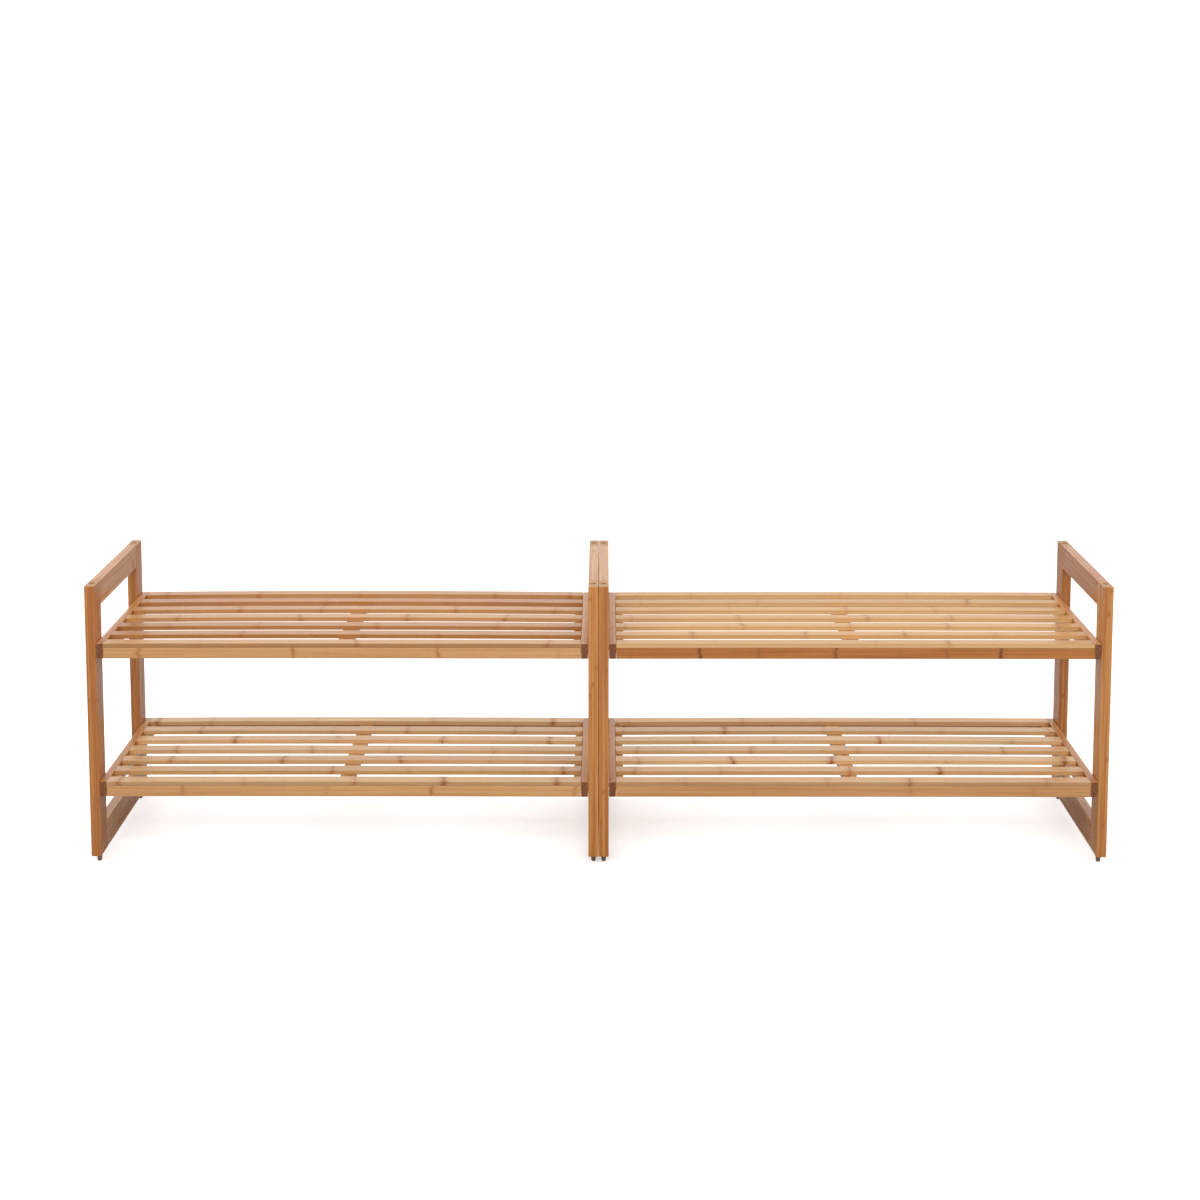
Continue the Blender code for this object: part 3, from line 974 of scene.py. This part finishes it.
# %% [markdown]
# ## How a shelf settles
#
# Real slats aren't straight. Glued and stapled over a middle bar, a shelf rises a millimetre or two
# between its ends, and each free slat wanders a little from side to side. One function gives the
# rise of a whole shelf, so that the slats, the bar under them and the back beam move together and
# still touch.

# %% Describe how each shelf rises
SHELF_RISE = {  # at mid-length along the front and along the back, in metres
    ("left_rack", "upper"): (0.0004, 0.0024),
    ("left_rack", "lower"): (0.0004, 0.0013),
    ("right_rack", "upper"): (0.0002, 0.0009),
    ("right_rack", "lower"): (0.0002, 0.0011),
}
WANDER = 0.0010
WANDER_WAVE = 2.2  # radians that the wave of the drift turns from mid-length to an end
SLAT_SPANS = 24
draw = random.Random(7)


def rise_of(rack, shelf):
    """A function that gives the rise at a place on this shelf."""
    low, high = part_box(f"{rack}_{shelf}_slat_1")
    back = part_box(f"{rack}_{shelf}_back_beam")[1].y
    front_rise, back_rise = SHELF_RISE[rack, shelf]

    def rise(x, y):
        across = (y - low.y) / (back - low.y)
        along = (2 * x - low.x - high.x) / (high.x - low.x)
        share = 1 - (1 - across) ** 2
        return (front_rise + (back_rise - front_rise) * share) * max(0.0, 1 - along * along)

    return rise


def settle(obj, move):
    """Moves each point of a placed board by move(x, y), a vector in the row frame."""
    turn = obj.matrix_world.to_3x3().inverted()
    for vertex in obj.data.vertices:
        place = obj.matrix_world @ vertex.co
        vertex.co += turn @ move(place.x, place.y)


def lifted(rise):
    """The move of a board that follows the rise and nothing else."""
    return lambda x, y: Vector((0, 0, rise(x, y)))


def wandering(rise, middle, half):
    """The rise, and a slow sideways drift that is different for each slat."""
    phase = draw.uniform(0, math.tau)
    reach = draw.uniform(-WANDER, WANDER)

    def move(x, y):
        along = (x - middle) / half
        drift = reach * math.sin(WANDER_WAVE * along + phase)
        return Vector((0, drift, rise(x, y)))

    return move


print("rises from", min(SHELF_RISE.values()), "to", max(SHELF_RISE.values()))

# %% [markdown]
# ## Shelves
#
# A shelf is a grid of thin boards. Two side rails close it at the ends, each with a cleat glued
# inside it for the slat ends to lie on. A beam runs along the front and one along the back under
# the outer slats, and a bar crosses below the slats in the middle. The sawn side of a front slat
# faces the viewer and shows darker than its top, except on the straw-coloured shelf, where all the
# sawn sides are pale.

# %% Make the boards of the shelves
SLAT_RADIUS = 0.0005
DARK_BEAM = "right_rack_upper_front_beam"
BEAM_TONES = {
    "left_rack_upper_front_beam": 0.05,
    "left_rack_lower_front_beam": 0.1,
    DARK_BEAM: 0.0,
    "right_rack_lower_front_beam": -0.2,
}
BACK_BEAM_TONES = (-0.3, 0.2)
SIDE_RAIL_TONE, BAR_TONE = 0.1, -0.1
SLAT_TONE_SPREAD = 0.25
FRONT_SLAT_SAWN, SLAT_SAWN = 0.45, 0.0
STRAW_SAWN = 0.65
# The lower shelves get the paler copy, a painted sheen and light; the upper right one gets the
# yellower copy, a painted weaker sheen.
SLAT_FINISH = {
    ("left_rack", "upper"): slat_bamboo,
    ("left_rack", "lower"): painted_sheen_slat_bamboo,
    ("right_rack", "upper"): painted_weak_sheen_slat_bamboo,
    ("right_rack", "lower"): painted_sheen_slat_bamboo,
}


def slat_tone():
    return draw.uniform(-SLAT_TONE_SPREAD, SLAT_TONE_SPREAD)


def slat_sawn(rack, shelf, is_front=False):
    if SLAT_FINISH[rack, shelf] is painted_weak_sheen_slat_bamboo:
        return STRAW_SAWN
    return FRONT_SLAT_SAWN if is_front else SLAT_SAWN


def make_side_rail(rack, shelf, side_name):
    """The side rail and its cleat, which are two boards glued face to face."""
    name = f"{rack}_{shelf}_{side_name}_side_rail"
    side = SIDES[side_name]
    low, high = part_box(name)
    bar_low, bar_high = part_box(f"{rack}_{shelf}_centre_bar")
    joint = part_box(f"{rack}_{shelf}_slat_2")
    inner = joint[1].x if side > 0 else joint[0].x
    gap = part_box(f"{rack}_{shelf}_slat_1")[0].z - bar_high.z
    rail_low, rail_high = low.copy(), high.copy()
    cleat_low = Vector((low.x, bar_low.y, bar_low.z))
    cleat_high = Vector((high.x, bar_high.y, bar_high.z))
    if side > 0:
        rail_low.x = cleat_high.x = inner + gap
    else:
        rail_high.x = cleat_low.x = inner - gap
    rail = board(name + "_wood", rail_low, rail_high, "y", "z", side_rail_bamboo,
                 "side_rail_bamboo", SIDE_RAIL_TONE)
    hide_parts(name)
    # The cleat's paler bamboo is painted light for its shaded top.
    board(name + "_cleat", cleat_low, cleat_high, "y", "x", bar_bamboo, "side_rail_bamboo", BAR_TONE)


def make_beams(rack, shelf, rise):
    """The front beam, and the back beam with the last slat glued on it."""
    front = f"{rack}_{shelf}_front_beam"
    low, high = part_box(front)
    material = dark_beam_bamboo if front == DARK_BEAM else beam_bamboo
    beam = board(front + "_wood", low, high, "x", "z", material, "beam_bamboo",
                 BEAM_TONES[front], SLAT_SPANS)
    settle(beam, lifted(rise))
    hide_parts(front)

    back = f"{rack}_{shelf}_back_beam"
    slat_low, slat_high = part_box(back)
    beam_low = Vector((slat_low.x, slat_high.y - (high.y - low.y), slat_low.z))
    beam_high = Vector((slat_high.x, slat_high.y, high.z))
    slat_low.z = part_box(f"{rack}_{shelf}_slat_1")[0].z
    beam = board(back + "_wood", beam_low, beam_high, "x", "z", beam_bamboo, "beam_bamboo",
                 draw.uniform(*BACK_BEAM_TONES), SLAT_SPANS)
    settle(beam, lifted(rise))
    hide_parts(back)
    slat = board(f"{rack}_{shelf}_slat_7", slat_low, slat_high, "x", "y", SLAT_FINISH[rack, shelf],
                 "slat_bamboo", slat_tone(), SLAT_SPANS, SLAT_RADIUS, slat_sawn(rack, shelf))
    settle(slat, lifted(rise))


def make_centre_bar(rack, shelf, rise):
    name = f"{rack}_{shelf}_centre_bar"
    low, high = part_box(name)
    # The bar's paler bamboo is painted light for its shaded top.
    bar = board(name + "_wood", low, high, "y", "x", bar_bamboo, "bar_bamboo", BAR_TONE, SLAT_SPANS)
    settle(bar, lifted(rise))
    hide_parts(name)


def make_slats(rack, shelf, rise):
    """The front slat is glued down along its beam. The others are free between their staples."""
    names = sorted(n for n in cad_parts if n.startswith(f"{rack}_{shelf}_slat_"))
    for name in names:
        low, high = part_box(name)
        is_front = name == names[0]
        slat = board(name + "_wood", low, high, "x", "y", SLAT_FINISH[rack, shelf], "slat_bamboo",
                     slat_tone(), SLAT_SPANS, SLAT_RADIUS, slat_sawn(rack, shelf, is_front))
        move = lifted(rise)
        if not is_front:
            move = wandering(rise, (low.x + high.x) / 2, (high.x - low.x) / 2)
        settle(slat, move)
        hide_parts(name)
    return names


for rack in RACKS:
    for shelf in SHELVES:
        rise = rise_of(rack, shelf)
        for side_name in SIDES:
            make_side_rail(rack, shelf, side_name)
        make_beams(rack, shelf, rise)
        make_centre_bar(rack, shelf, rise)
        names = make_slats(rack, shelf, rise)
        print(f"{rack} {shelf}: {len(names) + 1} slats")

# %% [markdown]
# ## Bolts
#
# A low-head bolt with a hexagon socket goes through each post into the shelf's side rail. The head
# is skinned from loops that turn from a hexagon into a circle, so its edge stays clean.

# %% Make the bolts
HEAD_RADIUS, HEAD_HEIGHT, HEAD_SUNK = 0.0062, 0.0034, 0.0009
HEX_HALF_FLATS, HEX_DEPTH = 0.002, 0.0022
HEX_FLOOR_SHARE = 0.5  # size of the innermost ring, as a share of the socket's floor
HEX_CHAMFER, HEX_CHAMFER_DEPTH = 0.0006, 0.0003
HEAD_EDGE = ((0.0, 0.0007), (0.0002, 0.0002), (0.0007, 0.0))  # depth, and how far in from the rim
SHARP_ANGLE = math.radians(40)
SHANK_RADIUS, BOLT_LENGTH = 0.003, 0.028
BOLT_SIDES = 24


def bolt_loop(depth, radius, hexagonal=False):
    """A loop at a depth below the head's face, round or six-sided."""
    loop = []
    for i in range(BOLT_SIDES):
        angle = math.tau * i / BOLT_SIDES
        reach = radius
        if hexagonal:
            reach = radius / math.cos((angle % (math.pi / 3)) - math.pi / 6)
        loop.append((-depth, reach * math.cos(angle), reach * math.sin(angle)))
    return loop


def make_bolt(name, rim, outward):
    loops = [
        bolt_loop(HEX_DEPTH, HEX_HALF_FLATS * HEX_FLOOR_SHARE, hexagonal=True),
        bolt_loop(HEX_DEPTH, HEX_HALF_FLATS, hexagonal=True),
        bolt_loop(HEX_CHAMFER_DEPTH, HEX_HALF_FLATS, hexagonal=True),
        bolt_loop(0.0, HEX_HALF_FLATS + HEX_CHAMFER),
        *(bolt_loop(depth, HEAD_RADIUS - inset) for depth, inset in HEAD_EDGE),
        bolt_loop(HEAD_HEIGHT, HEAD_RADIUS),
        bolt_loop(HEAD_HEIGHT, SHANK_RADIUS),
        bolt_loop(BOLT_LENGTH, SHANK_RADIUS),
    ]
    bm = bmesh.new()
    skin(bm, loops)
    bolt = mesh_object(name, bm)
    bolt.data.set_sharp_from_angle(angle=SHARP_ANGLE)
    turn = Vector((outward, 0, 0)).to_track_quat("X", "Z").to_matrix().to_4x4()
    bolt.matrix_world = Matrix.Translation(rim - Vector((outward * HEAD_SUNK, 0, 0))) @ turn
    note_grain(bolt)
    bolt.data.materials.append(zinc_steel)
    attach(bolt, "root")


bolt_count = 0
for rack in RACKS:
    for side_name, side in SIDES.items():
        for shelf, end, rim in bolt_places(rack, side_name):
            make_bolt(f"{rack}_{shelf}_{side_name}_{end}_bolt", rim, side)
            bolt_count += 1
print(f"{bolt_count} bolts")

# %% [markdown]
# ## Staples
#
# From below, a staple goes through the bar or a cleat into every free slat. Only the crowns of the
# staples are made, short flat wires pressed halfway into the wood. A bar rises with its shelf, and
# its staples rise with it; the cleats are straight. All crowns of one bar or cleat are one object.

# %% Make the staples
CROWN_LENGTH, CROWN_WIDTH, CROWN_THICKNESS = 0.0062, 0.0011, 0.0006
CROWN_ROUNDING = 0.0002


def level(x, y):
    return 0.0


def staple_crowns(name, carrier, base, ys, rise=level):
    """Crowns at each y of ys, under a bar or cleat whose underside is the rise above base."""
    xs = [(carrier.matrix_world @ vertex.co).x for vertex in carrier.data.vertices]
    middle_x = (min(xs) + max(xs)) / 2
    bm = bmesh.new()
    for y in ys:
        wire = bmesh.ops.create_cube(bm, size=1.0)["verts"]
        bmesh.ops.scale(bm, vec=(CROWN_LENGTH, CROWN_WIDTH, CROWN_THICKNESS), verts=wire)
        bmesh.ops.translate(bm, vec=(middle_x, y, base + rise(middle_x, y)), verts=wire)
    bmesh.ops.bevel(bm, geom=bm.edges[:], offset=CROWN_ROUNDING, segments=2, affect="EDGES")
    crowns = mesh_object(name, bm)
    bring_home(crowns, Vector((middle_x, 0, base)), "x", "y")
    note_grain(crowns)
    crowns.data.materials.append(wire_steel)
    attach(crowns, "root")


for rack in RACKS:
    for shelf in SHELVES:
        free_slats = sorted(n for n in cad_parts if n.startswith(f"{rack}_{shelf}_slat_"))[1:]
        ys = [sum(corner.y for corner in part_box(n)) / 2 for n in free_slats]
        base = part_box(f"{rack}_{shelf}_centre_bar")[0].z
        bar = bpy.data.objects[f"{rack}_{shelf}_centre_bar_wood"]
        staple_crowns(f"{rack}_{shelf}_bar_staples", bar, base, ys, rise_of(rack, shelf))
        for side_name in SIDES:
            cleat = bpy.data.objects[f"{rack}_{shelf}_{side_name}_side_rail_cleat"]
            staple_crowns(f"{rack}_{shelf}_{side_name}_staples", cleat, base, ys)
print("staples are in")

# %% [markdown]
# ## The size of the model
#
# The visual model has to fit the box of the frame. The last line measures the model's box.

# %% Measure the size
low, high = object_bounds()
